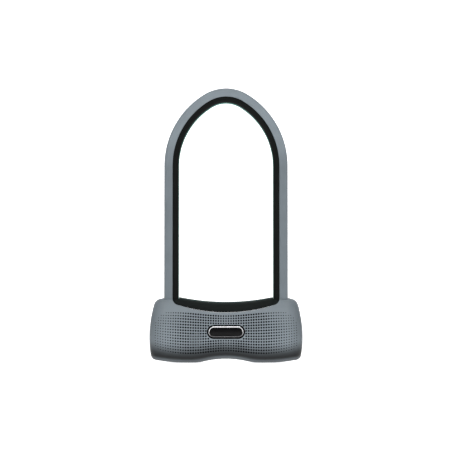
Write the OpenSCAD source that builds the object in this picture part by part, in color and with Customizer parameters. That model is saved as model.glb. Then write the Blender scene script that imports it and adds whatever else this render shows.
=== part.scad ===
// Bicycle U-lock with a siren body: a hardened arch-shaped shackle in a two-tone sleeve,
// seated in a steel lock case inside a moulded housing.
// Origin: on the resting plane, below the middle of the housing. +X right, -Y front, +Z up.

/* [Shackle] */
// Clear width between the sleeved legs
clear_w = 108; // [90:1:130]
// Height where the straight legs turn into the arch
spring_z = 225.7; // [150:0.1:300]
// Side of the sleeved bar
bar = 17; // [15:0.1:19]
// Side of the bare hardened bar
core = 13; // [11:0.1:14]
// Corner radius of the sleeve
bar_r = 3.4; // [2:0.1:5]
// Corner radius of the bare bar
core_r = 2; // [1:0.1:3]
// Width of the dark inner liner, seen from the front
liner_w = 7.2; // [4:0.1:10]
// Centreline radius of the crown
crown_r = 39.2; // [30:0.1:55]
// Half of the crown's angle
crown_a = 31.6; // [20:0.1:45]
// Lower end of the bare legs
leg_z = 26; // [24:0.5:32]
// Depth of the bolt notch in each leg
notch_d = 5.8; // [4:0.1:6.5]

/* [Housing] */
// Front-to-back depth of the housing
depth = 48; // [46:0.5:60]
// Rise of the curved deck above the lock case
deck_rise = 13.6; // [11:0.1:30]
// Height at which the housing is deepest
mid_z = 33; // [30:0.5:40]
// Width of the shoulder outside each leg
shoulder_w = 16.3; // [14:0.1:25]
// Wall of the moulded covers
wall = 2.5; // [2:0.1:3]
// Thickness of the seal between the covers
seal_t = 1.2; // [0.8:0.1:2]
// How much slimmer the housing is at its ends than in the middle, per side
crown_d = 1.5; // [0:0.1:3]
// Rounding of the vertical end edges
end_r = 8; // [4:0.5:10]
// Corner radius of the front outline
corner_r = 4; // [2:0.5:6]
// Radius of the deck's hollow
deck_r = 262; // [200:1:400]
// Radius of the shoulder
shoulder_r = 60; // [40:1:90]
// Bulge radius of the ends
side_r = 150; // [120:1:400]
// Height of the widest point
side_z = 29; // [20:0.5:40]
// Radius of the waist in the underside
waist_r = 111; // [80:1:160]
// Radius of each foot towards the waist
lobe_r = 79; // [50:1:120]
// Radius of each foot towards the end
heel_r = 210; // [150:1:400]
// Distance of each foot from the middle
foot_x = 42; // [35:0.5:50]
// Flattening of each foot
foot_trim = 0.6; // [0.2:0.1:1]

/* [Deck panel] */
// Height of the panel's face at its middle
lens_h = 12.4; // [8:0.1:16]
// Radius of the panel's lower edge
lens_r = 178; // [140:1:260]
// Corner radius of the panel
lens_corner = 5; // [3:0.5:8]
// Gap around the panel
lens_gap = 0.15; // [0.1:0.05:0.4]

/* [Badge] */
// Width of the badge recess
badge_w = 43.2; // [30:0.1:60]
// Height of the badge recess
badge_h = 15.6; // [10:0.1:20]
// Height of the badge centre
badge_z = 35.2; // [30:0.1:40]
// Gap between recess and frame
badge_gap = 1; // [0.5:0.1:2]
// Width of the frame's band
badge_band = 2.2; // [1.5:0.1:4]

/* [Sound holes] */
// Column pitch of the dot pattern
dot_dx = 2.9; // [2.5:0.1:4]
// Radius of a sound hole
dot_r = 0.6; // [0.4:0.05:0.8]
// Height of the siren's centre
siren_z = 25.5; // [22:0.1:26]
// Distance of the siren from the middle
siren_x = 34; // [30:0.5:38]
// Radius of the siren capsule
siren_r = 10; // [8:0.1:11]

/* [Lock] */
// Depth of the steel lock case
case_d = 26; // [24:0.5:30]
// Wall of the case around each leg
case_wall = 3.8; // [3:0.1:6]
// Bolt width
bolt_w = 10; // [8:0.1:12]
// Bolt height
bolt_h = 10.6; // [8:0.1:12]
// Bolt travel
bolt_travel = 5.5; // [4:0.1:6]
// Turn of the plug that throws the bolts
turn = 90; // [80:1:120]
// Radius of the lock cylinder
cyl_r = 10; // [9:0.1:11]
// Radius of the turning plug
plug_r = 7.6; // [7:0.1:8]
// Length of the lock cylinder
cyl_l = 24; // [20:0.5:28]
// Height of the cylinder's lower face
cyl_z = 12; // [12:0.5:14]
// Radius of the key opening
key_r = 4.2; // [3.5:0.1:4.5]
// Number of detainer discs
n_discs = 7; // [5:1:8]

/* [Battery] */
// Diameter of the cell
cell_d = 15.6; // [14:0.1:17]
// Length of the cell
cell_l = 27; // [24:0.5:30]
// Distance of the cell's centre from the middle
cell_x = 34; // [32:0.5:36]
// Height of the cell's centre
cell_z = 21; // [20:0.5:22]
// Distance of the cell's axis behind the middle
cell_y = 9.6; // [9:0.1:11]

/* [Hidden] */
$fn = 48;

fit = 0.05;            // running fit, per side
slack = 0.1;           // sliding clearance, per side
leg_gap = 0.3;         // clearance around each leg, per side
pin_gap = 0.12;        // clearance around each bolt pin, per side
door_gap = 0.3;        // clearance around the battery door

leg_x = clear_w / 2 + bar / 2;
leg_out = leg_x + bar / 2;
half_w = leg_out + shoulder_w;
half_d = depth / 2;
shoulder_arc = (leg_x - crown_r * sin(crown_a)) / (1 - sin(crown_a));
crown_z = spring_z + (shoulder_arc - crown_r) * cos(crown_a);
split_u = liner_w - bar / 2;
magnet_r = 3;
magnet_t = 2;

beam_z = cyl_z + cyl_l;
bolt_z = beam_z + 6.2;
bolt_top = bolt_z + bolt_h;
lid_z = bolt_top + 0.2;
lid_t = 3;
lid_sink = 1.4;
deck_z = lid_z + lid_t + deck_rise;
lens_z = deck_z - lens_h;
lid_x = clear_w / 2 - 4;
post_top = lid_z + 9;
post_half = core / 2 + leg_gap + case_wall;
boss_r = cyl_r + 5.5;
socket_z = leg_z - 2;
post_z = socket_z - 3;
seal_h = 2;
sleeve_z = post_top + seal_h;
notch_z0 = bolt_z - 0.5;
notch_z1 = bolt_top + 0.5;
bolt_tip = leg_x - core / 2 - 0.7;
bolt_head = 15.8;
rail_h = 4.3;
rib_x = 40;
rib_h = 12;

pin_r = 1.25;
pin_r0 = 4.6;
spiral = bolt_travel / turn;
disc_r = pin_r0 + bolt_travel + pin_r + 1.55;
disc_z0 = beam_z + 1.7;
disc_t = 4;
tail = 4;
tail_r = 4.2;

drill_t = 1.6;
disc_low = cyl_z + 0.4 + drill_t;
disc_run = cyl_l - 6;
disc_pitch = disc_run / n_discs;
plug_wall = 1.4;
sidebar_w = 1.8;
sidebar_d = 2;
pin_z = cyl_z + cyl_l - 3;

bezel_r = 7.5;
bezel_top = cyl_z - 2.8;
shutter_z = bezel_top + 1;
shutter_t = 1;
shutter_arm = 8;
shutter_r = key_r + 0.6;
shutter_open = 70;
pivot_r = 0.9;
tray_spots = [[-boss_r + 4.2, -5.5], [-boss_r + 4.2, 5.5]];

screw_r = 1.5;
screw_head = 2.7;
screw_seat = 15;
hex_r = 1.2;
boss_rad = 4.2;
screw_spots = [for (m = [-1, 1]) each [[m * (leg_x - 6.5), 15.2], [m * (leg_out + 7.2), 50]]];
lid_spots = [for (x = [-1, 1], y = [-1, 1]) [x * (boss_r + 9), y * (case_d / 2 - 3.9)]];

siren_y0 = -18.6;
siren_t = 8;
siren_wall = 1.2;
board_x0 = 18.5;
board_x1 = 49.5;
board_z0 = 13;
board_z1 = 34;
board_y = -13.4;
board_t = 1.6;
board_spots = [for (x = [board_x0 + 2.5, board_x1 - 2.5], z = [board_z0 + 2.5, board_z1 - 2.5]) [x, z]];
badge_seat = half_d - wall + 0.3;

door_w = cell_l + 6;
door_z0 = cell_z - cell_d / 2 - 1.6;
door_z1 = door_z0 + cell_d + 10.4;
door_screw_z = door_z1 - 4.2;
door_seat = half_d - 3;
boss_clear = 10;
cell_room = 0.7;       // room for the contacts at each end of the cell
cradle_t = 1.2;

// ---------- Outline functions ----------

function arc_drop(r, t) = r - sqrt(max(0, r * r - t * t));
function hill_angle(rv, rh, xh) = asin(xh / (rv + rh));
// Height above the valley of a valley arc that runs into a hill arc
function wave(x, rv, rh, xh) =
  let (a = hill_angle(rv, rh, xh), t = abs(x))
  t < rv * sin(a) ? arc_drop(rv, t) : (rv + rh) * (1 - cos(a)) - arc_drop(rh, t - xh);
waist_rise = wave(foot_x, waist_r, lobe_r, foot_x);
hill_x = leg_x - 2.5;
function top_z(x) = deck_z + wave(x, deck_r, shoulder_r, hill_x);
function under_z(x) =
  let (t = abs(x))
  -foot_trim + waist_rise - wave(min(t, foot_x), waist_r, lobe_r, foot_x)
  + (t > foot_x ? arc_drop(heel_r, t - foot_x) : 0);
// Place along the housing: s runs from -1 to 1; the bulge and inset of the ends fade towards the middle
side_fade = 5;
function end_inset(s, z, d) = sign(s) * pow(abs(s), side_fade) * (arc_drop(side_r, z - side_z) + d);
function x_at(s, z, d) = s * half_w - end_inset(s, z, d);
function s_at(x, z, d, tries = 4, s = 0) =
  tries == 0 ? (x + end_inset(s, z, d)) / half_w : s_at(x, z, d, tries - 1, (x + end_inset(s, z, d)) / half_w);
function rounding(t, limit, r) = t <= limit - r ? 0 : arc_drop(r, min(t, limit) - (limit - r));
function lens_edge(x) =
  lens_z + arc_drop(lens_r, abs(x)) + rounding(abs(x), clear_w / 2 + liner_w, lens_corner);

// ---------- Housing skin ----------
// A point of the skin: s runs end to end from -1 to 1, a from -90 (under) over 0 (front) to 90 (top),
// d is the inset from the outer surface, k scales the depth, g is half the gap at the parting plane.

upper_n = 2;
under_n = 3;
function skin_top(s, d) = let (x = abs(x_at(s, deck_z, 0)))
  top_z(x) - d - rounding(x, x_at(1, deck_z, 0), corner_r);
function skin_under(s, d) = let (x = abs(x_at(s, 0, 0)))
  under_z(x) + d + rounding(x, x_at(1, 0, 0), corner_r);
function skin_half_d(s, d) =
  half_d - d - crown_d * s * s - rounding(abs(s) * half_w, half_w, end_r);
function skin_z(s, a, d) =
  a >= 0 ? mid_z + (skin_top(s, d) - mid_z) * pow(sin(a), 2 / upper_n)
         : mid_z - (mid_z - skin_under(s, d)) * pow(-sin(a), 2 / under_n);
function skin(s, a, d, k, g) =
  let (n = a >= 0 ? upper_n : under_n, z = skin_z(s, a, d),
       c = abs(a) >= 90 ? 0 : pow(cos(a), 2 / n),
       y = g + k * c * (skin_half_d(s, d) - g))
  [x_at(s, z, d), -y, z];
// Angle at which the skin at s reaches height z
function angle_at(s, z, d) = asin(min(1, max(0, (z - mid_z) / (skin_top(s, d) - mid_z))));
function lens_s(x) = s_at(x, lens_edge(x), 0);

lens_half = clear_w / 2 + liner_w;
// Stations along the housing: each is [s, k]; the last at each end folds in to the parting plane.
half_stations = [for (i = [0:13]) i / 14 * lens_s(lens_half - lens_corner),
  for (i = [0:5]) lens_s(lens_half - lens_corner * (1 - sin(i * 18))),
  for (i = [1:4]) lens_s(lens_half) + i / 4 * (1 - end_r / half_w - 0.01 - lens_s(lens_half)),
  for (i = [1:6]) 1 - (end_r / half_w) * (1 - sin(i * 15))];
cover_stations = [[-1, 0], for (i = [len(half_stations) - 1:-1:1]) [-half_stations[i], 1],
  for (v = half_stations) [v, 1], [1, 0]];
end_s = lens_s(lens_half);
low_cols = 15;
high_cols = 6;
panel_cols = 12;
// Angle of the lens edge; beyond the panel it carries on level to the ends of the housing
function edge_angle(s, d, shift) =
  angle_at(s, (abs(s) > end_s ? lens_edge(lens_half) : lens_edge(x_at(s, lens_z, 0))) + shift, d);

// Rows of points of one cover, mirrored to the back when m is -1
function cover_rows(d, m) = [for (st = cover_stations)
  let (e = edge_angle(st[0], d, -lens_gap / 2))
  [for (j = [0:low_cols + high_cols])
    let (a = j <= low_cols ? -90 + (e + 90) * j / low_cols : e + (90 - e) * (j - low_cols) / high_cols,
         p = skin(st[0], a, d, st[1], seal_t / 2))
    [p[0], m * p[1], p[2]]]];
// A cover has no skin above the lens edge between the legs
function cover_has(i, j) =
  i >= 0 && j >= 0 && i < len(cover_stations) - 1 && j < low_cols + high_cols
  && (j < low_cols || min(abs(cover_stations[i][0]), abs(cover_stations[i + 1][0])) > end_s - 1e-6);

panel_stations = [for (st = cover_stations) if (abs(st[0]) <= end_s + 1e-6)
  sign(st[0]) * min(abs(st[0]), end_s - 3 * lens_gap / half_w)];
function panel_rows(d) = [for (s = panel_stations)
  let (e = edge_angle(s, d, lens_gap / 2))
  [for (j = [0:panel_cols])
    let (t = e + (180 - 2 * e) * j / panel_cols, p = skin(s, min(t, 180 - t), d, 1, 0))
    [p[0], t > 90 ? -p[1] : p[1], p[2]]]];
function panel_has(i, j) = i >= 0 && j >= 0 && i < len(panel_stations) - 1 && j < panel_cols;

// A solid sheet between two grids of points. has(i, j) says which cells of the grid it covers;
// flip turns its faces, for a mirrored grid.
module sheet(outer, inner, has, flip) {
  nr = len(outer);
  nc = len(outer[0]);
  pts = concat([for (r = outer) each r], [for (r = inner) each r]);
  off = nr * nc;
  function at(i, j) = i * nc + j;
  cells = [for (i = [0:nr - 2], j = [0:nc - 2]) if (has(i, j)) [i, j]];
  skin_faces = [for (c = cells) let (i = c[0], j = c[1]) each
    [[at(i, j), at(i + 1, j), at(i + 1, j + 1)], [at(i, j), at(i + 1, j + 1), at(i, j + 1)]]];
  rim = [for (c = cells) let (i = c[0], j = c[1]) each concat(
    has(i, j - 1) ? [] : [[at(i + 1, j), at(i, j)]],
    has(i, j + 1) ? [] : [[at(i, j + 1), at(i + 1, j + 1)]],
    has(i - 1, j) ? [] : [[at(i, j), at(i, j + 1)]],
    has(i + 1, j) ? [] : [[at(i + 1, j + 1), at(i + 1, j)]])];
  faces = concat(skin_faces, [for (f = skin_faces) [f[2] + off, f[1] + off, f[0] + off]],
    [for (e = rim) each [[e[0], e[1], e[1] + off], [e[0], e[1] + off, e[0] + off]]]);
  solid_faces = [for (f = faces)
    if (pts[f[0]] != pts[f[1]] && pts[f[1]] != pts[f[2]] && pts[f[0]] != pts[f[2]]) f];
  polyhedron(pts, flip ? solid_faces : [for (f = solid_faces) [f[2], f[1], f[0]]]);
}

// Depth of the skin, from the parting plane, at a place seen from the front
function skin_depth(x, z, d) =
  let (s = s_at(x, z, d), top = skin_top(s, d), low = skin_under(s, d),
       up = z >= mid_z, n = up ? upper_n : under_n,
       rise = up ? (z - mid_z) / (top - mid_z) : (mid_z - z) / (mid_z - low),
       c = pow(max(0, 1 - pow(min(1, rise), n)), 1 / n))
  seal_t / 2 + c * (skin_half_d(s, d) - seal_t / 2);
// Least depth of the skin around a round boss
function boss_depth(spot, r, d) =
  min([for (a = [0:45:315]) skin_depth(spot[0] + r * cos(a), spot[1] + r * sin(a), d)]);

// ---------- Shared shapes ----------

module round_square(side, r) {
  square([side, side - 2 * r], center = true);
  square([side - 2 * r, side], center = true);
  for (x = [-1, 1], y = [-1, 1])
    translate([x * (side / 2 - r), y * (side / 2 - r)]) circle(r);
}

module stadium(w, h) {
  square([w - h, h], center = true);
  for (x = [-1, 1]) translate([x * (w - h) / 2, 0]) circle(h / 2);
}

// Stands a flat outline on the housing's front: x stays, y becomes height, y0 to y1 is its depth range
module on_front(y0, y1) { translate([0, y1, 0]) rotate([90, 0, 0]) linear_extrude(y1 - y0) children(); }

module block(x, y, z) { translate([x[0], y[0], z[0]]) cube([x[1] - x[0], y[1] - y[0], z[1] - z[0]]); }

module rod(x, z, r, y0, y1) { translate([x, y1, z]) rotate([90, 0, 0]) cylinder(r = r, h = y1 - y0); }

// Stations around the shackle, from the left leg to the right: each is [centre x, centre z, radius, angle]
arc_step = 6;
function arc_stations(x, z, r, a0, a1) =
  let (n = ceil(abs(a1 - a0) / arc_step)) [for (i = [1:n]) [x, z, r, a0 + (a1 - a0) * i / n]];
function arch_stations(z0) = concat(
  [[shoulder_arc - leg_x, z0, shoulder_arc, 180], [shoulder_arc - leg_x, spring_z, shoulder_arc, 180]],
  arc_stations(shoulder_arc - leg_x, spring_z, shoulder_arc, 180, 90 + crown_a),
  arc_stations(0, crown_z, crown_r, 90 + crown_a, 90 - crown_a),
  arc_stations(leg_x - shoulder_arc, spring_z, shoulder_arc, 90 - crown_a, 0),
  [[leg_x - shoulder_arc, z0, shoulder_arc, 0]]);

// Bends a section around the whole shackle; the section's first axis points away from the opening
module arch(z0, section) {
  stations = arch_stations(z0);
  n = len(section);
  last = (len(stations) - 1) * n;
  pts = [for (st = stations, p = section)
    [st[0] + (st[2] + p[0]) * cos(st[3]), p[1], st[1] + (st[2] + p[0]) * sin(st[3])]];
  walls = [for (i = [0:len(stations) - 2], j = [0:n - 1]) let (k = (j + 1) % n) each
    [[i * n + j, (i + 1) * n + k, (i + 1) * n + j], [i * n + j, i * n + k, (i + 1) * n + k]]];
  ends = [for (j = [0:n / 2 - 2]) each
    [[j, n - 1 - j, n - 2 - j], [j, n - 2 - j, j + 1],
     [last + j, last + n - 2 - j, last + n - 1 - j], [last + j, last + j + 1, last + n - 2 - j]]];
  polyhedron(pts, concat(walls, ends));
}

// Corner of a round square, as points; q turns it to its quarter
function corner(side, r, q, steps) = [for (i = [0:steps]) let (a = q + i * 90 / steps)
  [sign(cos(q + 45)) * (side / 2 - r) + r * cos(a), sign(sin(q + 45)) * (side / 2 - r) + r * sin(a)]];
// Half of the sleeve's section: a channel around the bar that ends at u; mirrored when m is -1
function channel_side(u, side, r) =
  concat([[u, -side / 2]], corner(side, r, -90, 4), corner(side, r, 0, 4), [[u, side / 2]]);
function half_section(u, m) =
  let (pts = concat(channel_side(u, bar, bar_r), reversed(channel_side(u, core + slack, core_r))))
  m > 0 ? pts : reversed([for (p = pts) [-p[0], p[1]]]);
function reversed(v) = [for (i = [len(v) - 1:-1:0]) v[i]];

// ---------- Shackle ----------

module shackle_bar() {
  color("gainsboro") difference() {
    arch(leg_z, [for (q = [0:90:270]) each corner(core, core_r, q, 3)]);
    for (m = [0, 1]) mirror([m, 0, 0])
      block([leg_x - core, leg_x - core / 2 + notch_d], [-core, core], [notch_z0, notch_z1]);
    translate([leg_x, 0, leg_z - slack]) cylinder(r = magnet_r + slack, h = magnet_t + 2 * slack);
  }
}

module leg_magnet() {
  color("silver") translate([leg_x, 0, leg_z]) cylinder(r = magnet_r, h = magnet_t);
}

module shackle_sleeve() { color("slategray") arch(sleeve_z, half_section(split_u + slack / 2, 1)); }

module shackle_liner() { color([0.1, 0.11, 0.11]) arch(sleeve_z, half_section(slack / 2 - split_u, -1)); }

// ---------- Housing ----------

// Cuts that both covers share: the flat of the feet, the legs and the keyway bezel
module shared_cuts() {
  block([-half_w, half_w], [-depth, depth], [-depth, 0]);
  leg_holes();
  cylinder(r = bezel_r + 0.2, h = bezel_top);
}

module leg_holes() {
  for (m = [0, 1]) mirror([m, 0, 0]) translate([leg_x, 0, post_top + slack])
    linear_extrude(half_w) round_square(bar + 2 * leg_gap, bar_r + leg_gap);
}

// Where the sound holes stand: a row follows the waist of the housing
dot_top = lens_z - 4.2;
dot_low = 14;
dot_rows = 15;
function dot_z(x, row) =
  let (top = dot_top + arc_drop(deck_r, x), low = dot_low - arc_drop(deck_r, x))
  top + (low - top) * row / (dot_rows - 1);

module sound_holes() {
  for (col = [ceil((-siren_x - siren_r) / dot_dx):floor((-siren_x + siren_r) / dot_dx)], row = [0:dot_rows - 1]) {
    x = col * dot_dx;
    z = dot_z(x, row);
    if (norm([x + siren_x, z - siren_z]) < siren_r - 3 * dot_r) rod(x, z, dot_r, -depth, -half_d / 2);
  }
}

// Bosses of one cover for the screws along the depth; they end inside the wall
module screw_bosses() {
  for (spot = screw_spots) {
    end = boss_depth(spot, boss_rad, wall / 3);
    rod(spot[0], spot[1], boss_rad, screw_seat - 3, end);
    rod(spot[0], spot[1], boss_rad - 1, seal_t / 2, end);
  }
}

// Ribs that press on the lock case from both sides
module case_ribs() {
  for (x = [-1, 1]) {
    end = skin_depth(rib_x, beam_z + rib_h, wall / 2);
    block([x * rib_x - 1, x * rib_x + 1], [case_d / 2 + slack, end], [beam_z + 2, beam_z + rib_h]);
  }
}

module front_cover() {
  pad_y = half_d - wall;
  color("slategray") difference() {
    union() {
      sheet(cover_rows(0, 1), cover_rows(wall, 1), function (i, j) cover_has(i, j), false);
      mirror([0, 1, 0]) { screw_bosses(); case_ribs(); }
      on_front(-pad_y - 0.7, -pad_y + 1.6) translate([0, badge_z]) stadium(badge_w + 4, badge_h + 4);
      difference() {
        rod(-siren_x, siren_z, siren_r + 1.4, -skin_depth(siren_x, siren_z, wall / 2), siren_y0 + 2.5);
        rod(-siren_x, siren_z, siren_r + slack, -depth, depth);
      }
      for (spot = board_spots)
        rod(spot[0], spot[1], 2, -boss_depth(spot, 2, wall / 3), board_y - board_t);
    }
    shared_cuts();
    sound_holes();
    on_front(-depth, -pad_y - 0.3) translate([0, badge_z]) stadium(badge_w, badge_h);
    for (spot = screw_spots) rod(spot[0], spot[1], screw_r - 0.2, -screw_seat + 1, 0);
    for (spot = board_spots) rod(spot[0], spot[1], 0.8, board_y - board_t - 3, 0);
  }
}

module rear_shell() { sheet(cover_rows(0, -1), cover_rows(wall, -1), function (i, j) cover_has(i, j), true); }

// Outline of the battery door, grown by g
module door_block(g) {
  block([cell_x - door_w / 2 - g, cell_x + door_w / 2 + g], [boss_clear, depth], [door_z0 - g, door_z1 + g]);
}

module rear_cover() {
  lug_end = skin_depth(cell_x + 5, door_z1 + 3, wall / 2);
  color("slategray") difference() {
    union() {
      difference() {
        rear_shell();
        door_block(door_gap);
      }
      screw_bosses();
      case_ribs();
      block([cell_x - 5, cell_x + 5], [lug_end - 7, lug_end - wall - 0.5], [door_z1 - 7.5, door_z1 + 4]);
      block([cell_x - 5, cell_x + 5], [lug_end - 7, lug_end], [door_z1 + 1, door_z1 + 4]);
    }
    shared_cuts();
    for (spot = screw_spots) {
      rod(spot[0], spot[1], screw_r + 0.2, 0, depth);
      rod(spot[0], spot[1], screw_head + 0.3, screw_seat, depth);
    }
    rod(cell_x, door_screw_z, screw_r, 0, depth);
  }
}

module deck_panel() {
  color([0.12, 0.13, 0.13]) difference() {
    sheet(panel_rows(0), panel_rows(wall), function (i, j) panel_has(i, j), false);
    leg_holes();
  }
}

// The seal's outline stands upright: ends and underside only, open below the deck panel
function ring(d) = concat(
  [for (i = [-24:24]) let (s = i / 24, z = max(skin_under(s, d), d)) [x_at(s, z, d), z]],
  [for (i = [24:-1:-24]) let (s = i / 24, z = skin_top(s, d)) [x_at(s, z, d), z]]);

module cover_seal() {
  color("dimgray") difference() {
    on_front(-seal_t / 2, seal_t / 2) difference() {
      polygon(ring(0.4));
      polygon(ring(wall - 0.2));
      translate([-lens_half - 0.5, mid_z]) square([2 * lens_half + 1, half_w]);
    }
    shared_cuts();
  }
}

module cover_screws() {
  color("dimgray") for (spot = screw_spots) {
    rod(spot[0], spot[1], screw_r - 0.2, -screw_seat + 2, screw_seat + 0.5);
    difference() {
      rod(spot[0], spot[1], screw_head, screw_seat, screw_seat + 1.8);
      translate([spot[0], screw_seat + 2, spot[1]]) rotate([90, 0, 0]) cylinder(r = hex_r, h = 1.2, $fn = 6);
    }
  }
}

module badge_frame() {
  color("silver") on_front(-half_d + 0.2, -badge_seat) translate([0, badge_z]) difference() {
    stadium(badge_w - 2 * badge_gap, badge_h - 2 * badge_gap);
    stadium(badge_w - 2 * (badge_gap + badge_band), badge_h - 2 * (badge_gap + badge_band));
  }
}

module badge_plate() {
  inset = badge_gap + badge_band + 0.1;
  color([0.08, 0.08, 0.09]) on_front(-half_d + 0.9, -badge_seat) translate([0, badge_z])
    stadium(badge_w - 2 * inset, badge_h - 2 * inset);
}

module entry_seals() {
  color([0.15, 0.15, 0.15]) for (x = [-1, 1]) translate([x * leg_x, 0, post_top])
    linear_extrude(seal_h - slack) difference() {
      round_square(bar, bar_r);
      round_square(core + 2 * leg_gap, core_r);
    }
}

// ---------- Lock case and bolts ----------

module lock_case() {
  color("lightsteelblue") difference() {
    union() {
      block([-leg_x, leg_x], [-case_d / 2, case_d / 2], [beam_z, lid_z]);
      for (x = [-1, 1]) translate([x * leg_x, 0, post_z]) linear_extrude(post_top - post_z)
        square(2 * post_half, center = true);
      translate([0, 0, cyl_z]) cylinder(r = boss_r, h = lid_z - cyl_z);
    }
    for (x = [-1, 1]) translate([x * leg_x, 0, socket_z]) linear_extrude(half_w)
      square(core + 2 * leg_gap, center = true);
    block([-leg_x, leg_x], [-bolt_w / 2 - slack, bolt_w / 2 + slack], [bolt_z - slack, lid_z]);
    translate([0, 0, disc_z0 - 0.2]) cylinder(r = disc_r + 0.4, h = half_w);
    translate([0, 0, cyl_z - slack]) cylinder(r = cyl_r + slack, h = cyl_l + slack);
    translate([0, 0, cyl_z]) cylinder(r = tail_r, h = half_w);
    for (spot = lid_spots) translate([spot[0], spot[1], lid_z - 9]) cylinder(r = screw_r, h = 9 + slack);
    translate([-boss_r, 0, pin_z]) rotate([0, 90, 0]) cylinder(r = 1, h = boss_r - cyl_r);
    for (spot = tray_spots) translate([spot[0], spot[1], cyl_z - slack]) cylinder(r = 1, h = 6);
  }
}

module case_lid() {
  color("lightsteelblue") difference() {
    union() {
      block([-lid_x, lid_x], [-case_d / 2, case_d / 2], [lid_z, lid_z + lid_t]);
      translate([0, 0, lid_z]) cylinder(r = boss_r, h = lid_t);
    }
    for (spot = lid_spots) translate([spot[0], spot[1], lid_z - slack]) {
      cylinder(r = screw_r + 0.2, h = lid_t + 1);
      translate([0, 0, lid_t - lid_sink + slack]) cylinder(r = screw_head - 0.2, h = 2);
    }
  }
}

module lid_screws() {
  color("dimgray") for (spot = lid_spots) translate([spot[0], spot[1], lid_z]) difference() {
    union() {
      translate([0, 0, -8]) cylinder(r = screw_r - slack, h = 8 + lid_t - lid_sink);
      translate([0, 0, lid_t - lid_sink]) cylinder(r = screw_head - 0.4, h = 1.6);
    }
    translate([0, 0, lid_t - 0.6]) cylinder(r = hex_r, h = 1, $fn = 6);
  }
}

// Right-hand bolt; the left one is its mirror image
module bolt() {
  color("silver") {
    difference() {
      block([bolt_tip - bolt_head, bolt_tip], [-bolt_w / 2, bolt_w / 2], [bolt_z, bolt_top]);
      translate([bolt_tip, 0, bolt_top]) rotate([0, 45, 0]) cube([2, 2 * bolt_w, 2], center = true);
    }
    block([pin_r0 - 2, bolt_tip - bolt_head + 1], [-bolt_w / 2, bolt_w / 2], [bolt_z, bolt_z + rail_h]);
    translate([pin_r0, 0, disc_z0 + 0.6]) cylinder(r = pin_r, h = bolt_z - disc_z0);
  }
}
module right_bolt() { bolt(); }
module left_bolt() { mirror([1, 0, 0]) bolt(); }

// A spiral slot turns the plug's rotation into the bolt's travel
function slot_point(t) = let (r = pin_r0 + spiral * t) [r * cos(t), -r * sin(t)];
function slot_across(t) = atan2(spiral * 180 / PI, pin_r0 + spiral * t) - t;
function slot_edge(t, turned) = slot_point(t) + (pin_r + pin_gap) * [cos(turned), sin(turned)];
module spiral_slot() {
  over = 6;
  steps = 24;
  angles = [for (i = [0:steps]) -over + i * (turn + 2 * over) / steps];
  cap = [15:15:165];
  polygon(concat([for (t = angles) slot_edge(t, slot_across(t))],
    [for (c = cap) slot_edge(turn + over, slot_across(turn + over) - c)],
    [for (i = [steps:-1:0]) slot_edge(angles[i], slot_across(angles[i]) + 180)],
    [for (c = cap) slot_edge(-over, slot_across(-over) + 180 - c)]));
}

module drive_disc() {
  color("goldenrod") translate([0, 0, disc_z0]) linear_extrude(disc_t) difference() {
    circle(disc_r);
    for (a = [0, 180]) rotate(a) spiral_slot();
    square(tail + slack, center = true);
  }
}

// ---------- Lock cylinder ----------

module keyway() {
  intersection() {
    circle(key_r - 1.4);
    translate([-key_r, -key_r + 1.6]) square([2 * key_r, 2 * key_r]);
  }
}

module sidebar_slot(g) {
  translate([plug_r - sidebar_d / 2, 0]) square([sidebar_d + 2 * g, sidebar_w + 2 * g], center = true);
}

module cylinder_housing() {
  color("gold") difference() {
    translate([0, 0, cyl_z]) cylinder(r = cyl_r, h = cyl_l);
    translate([0, 0, cyl_z - slack]) cylinder(r = plug_r + fit, h = cyl_l - 1.8 + slack);
    translate([0, 0, cyl_z]) cylinder(r = tail_r, h = cyl_l + slack);
    translate([0, 0, disc_low]) linear_extrude(disc_run) translate([1.4, 0]) sidebar_slot(slack);
    translate([-cyl_r - slack, 0, pin_z]) rotate([0, 90, 0]) cylinder(r = 1, h = 1.6);
  }
}

module cylinder_pin() {
  color("silver") translate([-boss_r + 0.4, 0, pin_z]) rotate([0, 90, 0])
    cylinder(r = 1 - fit, h = boss_r - cyl_r + 1);
}

module plug_barrel() {
  color("gold") difference() {
    union() {
      translate([0, 0, cyl_z + 0.2]) cylinder(r = plug_r, h = cyl_l - 2.2);
      translate([0, 0, beam_z - 2.2]) cylinder(r = tail_r - 0.4, h = disc_z0 - beam_z + 2.1);
      translate([0, 0, beam_z]) linear_extrude(disc_z0 + disc_t - 0.2 - beam_z) square(tail, center = true);
    }
    translate([0, 0, cyl_z]) cylinder(r = plug_r - plug_wall, h = disc_low + disc_run - cyl_z);
    translate([0, 0, disc_low]) linear_extrude(disc_run) sidebar_slot(slack);
  }
}

module drill_disc() {
  color("dimgray") translate([0, 0, cyl_z + 0.3]) linear_extrude(drill_t) difference() {
    circle(plug_r - plug_wall - fit);
    keyway();
  }
}

module detainer_discs() {
  color("khaki") for (i = [0:n_discs - 1])
    translate([0, 0, disc_low + i * disc_pitch]) linear_extrude(disc_pitch - 0.3) difference() {
      circle(plug_r - plug_wall - fit);
      keyway();
      sidebar_slot(2 * slack);
    }
}

module sidebar() {
  color("silver") translate([0, 0, disc_low + slack]) linear_extrude(disc_run - 2 * slack)
    translate([-0.15, 0]) sidebar_slot(-fit);
}

// ---------- Keyway cover ----------

module keyway_bezel() {
  low = skin_under(0, 0) + 0.1;
  color("silver") difference() {
    union() {
      translate([0, 0, low]) cylinder(r = bezel_r, h = bezel_top - low);
      translate([0, 0, bezel_top - 0.9]) cylinder(r = bezel_r + 1.7, h = 0.9);
    }
    translate([0, 0, low - slack]) cylinder(r = key_r, h = cyl_z);
    translate([0, 0, low - slack]) cylinder(r1 = key_r + 1.1, r2 = key_r, h = 1.1);
  }
}

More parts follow.
